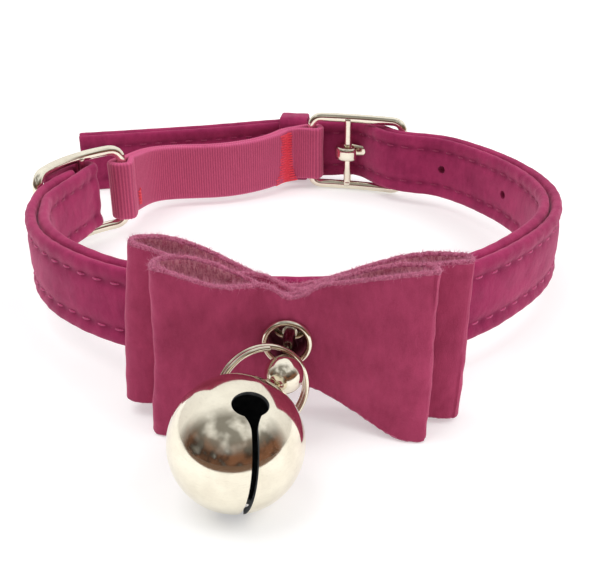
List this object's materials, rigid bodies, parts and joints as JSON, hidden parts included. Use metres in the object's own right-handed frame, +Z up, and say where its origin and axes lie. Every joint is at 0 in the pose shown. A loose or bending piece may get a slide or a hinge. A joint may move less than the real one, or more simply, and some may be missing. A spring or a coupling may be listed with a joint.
{
  "type": "pet bow tie collar",
  "caption": "Fastened velvet collar with a folded bow, a ball stud in an eyelet, a split ring with a round bell, an elastic stretch, a slide and a prong buckle.",
  "frame": {"origin": "middle of the footprint of the collar as it stands on its edge, on the floor", "axes": "+Z up, away from the floor; +X to the right as seen from the bow's side; -Y towards the bow and bell, +Y towards the buckle"},
  "size_m": [0.0976, 0.1266, 0.0261],
  "materials": {
    "velvet": "short-pile velvet, magenta pink",
    "webbing": "ribbed elastic, satin",
    "suede": "brushed microfibre, magenta pink",
    "nickel": "polished warm nickel plate"
  },
  "bodies": {
    "root": {"strap_face": "velvet", "strap_lining": "velvet", "keeper": "velvet", "elastic": "webbing", "bow_back": "suede", "bow_front": "suede", "slide": "nickel", "buckle_frame": "nickel", "buckle_prong": "nickel", "eyelet": "nickel", "stud": "nickel", "split_ring": "nickel", "bell": "nickel", "bell_pellet": "nickel"}
  },
  "joints": []
}
